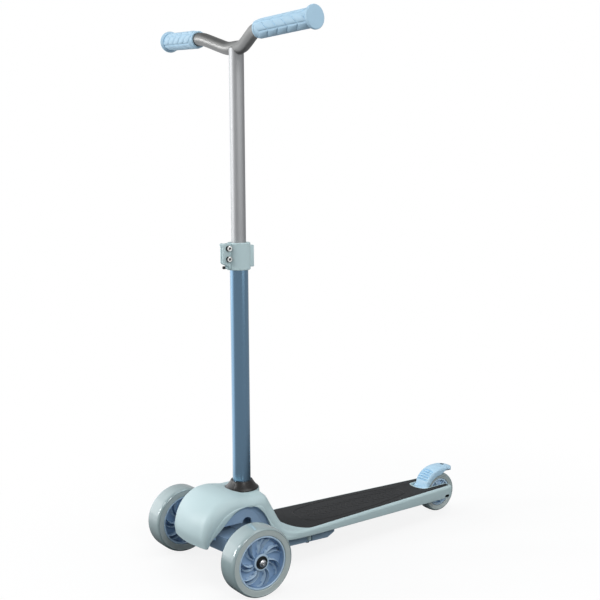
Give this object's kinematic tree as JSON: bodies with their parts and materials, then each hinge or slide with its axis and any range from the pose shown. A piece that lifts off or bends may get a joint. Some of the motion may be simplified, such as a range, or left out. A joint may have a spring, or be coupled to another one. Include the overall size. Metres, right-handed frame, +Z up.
{
  "type": "three wheel kids scooter",
  "caption": "child's lean-steered kick scooter with a height-adjustable T-bar, padded deck and rear foot brake, in pale blue and grey",
  "frame": {"origin": "on the ground, under the middle of the length and width", "axes": "+X is the rider's left, +Y points to the rear wheel, +Z up"},
  "size_m": [0.4534, 0.632, 0.953],
  "materials": {
    "pale_plastic": "satin moulded, slight texture",
    "blue_plastic": "satin moulded",
    "grip_rubber": "soft matte, moulded panels",
    "brake_plastic": "satin moulded",
    "tyre_urethane": "smooth cast, glossy tread",
    "mat_rubber": "fine grained, matte",
    "dark_plastic": "satin",
    "blue_tube": "satin metallic coat",
    "aluminium_tube": "brushed along the tube",
    "dark_steel": "plain, oiled",
    "bright_steel": "polished",
    "buffer_rubber": "matte"
  },
  "bodies": {
    "frame": {"deck_moulding": "pale_plastic", "grip_mat": "mat_rubber", "chassis_frame": "blue_plastic", "spring_housing": "blue_plastic", "left_housing_screw": "bright_steel", "right_housing_screw": "bright_steel", "left_lean_buffer": "buffer_rubber", "right_lean_buffer": "buffer_rubber", "front_pivot_bush": "dark_plastic", "rear_pivot_bush": "dark_plastic", "rear_axle_pin": "dark_steel", "rear_left_spacer": "bright_steel", "rear_right_spacer": "bright_steel", "rear_bearing_spacer": "dark_steel", "brake_hinge_pin": "dark_steel", "brake_spring": "bright_steel", "column_tube": "blue_tube", "column_boot": "dark_plastic", "column_bolt": "dark_steel", "guide_bushing": "dark_plastic", "height_clamp": "pale_plastic", "upper_clamp_bolt": "bright_steel", "lower_clamp_bolt": "bright_steel", "upper_clamp_nut": "dark_steel", "lower_clamp_nut": "dark_steel"},
    "lock_button_body": {"lock_button": "dark_plastic"},
    "t_bar": {"upper_tube": "aluminium_tube", "tube_plug": "dark_plastic", "handlebar": "aluminium_tube", "left_grip": "grip_rubber", "right_grip": "grip_rubber"},
    "truck": {"truck_beam": "blue_plastic", "pivot_shaft": "bright_steel", "tail_arm": "dark_steel", "tail_screw": "bright_steel", "left_kingpin": "dark_steel", "right_kingpin": "dark_steel"},
    "tie_rod_body": {"tie_rod": "dark_steel"},
    "rear_wheel": {"rear_tyre": "tyre_urethane", "rear_hub": "blue_plastic", "rear_left_bearing": "dark_steel", "rear_right_bearing": "dark_steel"},
    "brake": {"brake_fender": "brake_plastic"},
    "left_knuckle_body": {"left_knuckle": "blue_plastic", "left_axle_bolt": "bright_steel", "left_axle_washer": "dark_steel", "left_bearing_spacer": "bright_steel"},
    "left_front_wheel": {"left_tyre": "tyre_urethane", "left_hub": "blue_plastic", "left_inner_bearing": "dark_steel", "left_outer_bearing": "dark_steel"},
    "right_knuckle_body": {"right_knuckle": "blue_plastic", "right_axle_bolt": "bright_steel", "right_axle_washer": "dark_steel", "right_bearing_spacer": "bright_steel"},
    "right_front_wheel": {"right_tyre": "tyre_urethane", "right_hub": "blue_plastic", "right_inner_bearing": "dark_steel", "right_outer_bearing": "dark_steel"}
  },
  "joints": [
    {"name": "lean", "type": "hinge", "parent": "frame", "child": "truck", "pos_m": [0, -0.251, 0.07], "axis": [0, -1, 0], "range_deg": [-10, 10], "stiffness_Nm_per_rad": 80},
    {"name": "tie_rod_slide", "type": "slide", "parent": "truck", "child": "tie_rod_body", "axis": [1, 0, 0], "range_m": [-0.008, 0.008]},
    {"name": "rear_wheel_spin", "type": "hinge", "parent": "frame", "child": "rear_wheel", "pos_m": [0, 0.276, 0.04], "axis": [1, 0, 0], "continuous": true},
    {"name": "brake_press", "type": "hinge", "parent": "frame", "child": "brake", "pos_m": [0, 0.2315, 0.05], "axis": [-1, 0, 0], "range_deg": [0, 3.6], "stiffness_Nm_per_rad": 3, "springref_deg": -5.73},
    {"name": "height_slide", "type": "slide", "parent": "frame", "child": "t_bar", "axis": [0, 0, -1], "range_m": [0, 0.2]},
    {"name": "button_press", "type": "slide", "parent": "frame", "child": "lock_button_body", "axis": [0, 1, 0], "range_m": [0, 0.0025], "stiffness_N_per_m": 800, "springref_m": -0.001},
    {"name": "left_steer", "type": "hinge", "parent": "truck", "child": "left_knuckle_body", "pos_m": [0.084, -0.251, 0.061], "axis": [0, 0, 1], "range_deg": [-13.5, 13.5]},
    {"name": "left_wheel_spin", "type": "hinge", "parent": "left_knuckle_body", "child": "left_front_wheel", "pos_m": [0.1265, -0.251, 0.06], "axis": [1, 0, 0], "continuous": true},
    {"name": "right_steer", "type": "hinge", "parent": "truck", "child": "right_knuckle_body", "pos_m": [-0.084, -0.251, 0.061], "axis": [0, 0, 1], "range_deg": [-13.5, 13.5]},
    {"name": "right_wheel_spin", "type": "hinge", "parent": "right_knuckle_body", "child": "right_front_wheel", "pos_m": [-0.1265, -0.251, 0.06], "axis": [1, 0, 0], "continuous": true}
  ],
  "couplings": [
    {"joint": "tie_rod_slide", "follows": "lean", "m_per_rad": -0.0442},
    {"joint": "left_steer", "follows": "lean", "ratio": 1.3},
    {"joint": "right_steer", "follows": "lean", "ratio": 1.3}
  ]
}
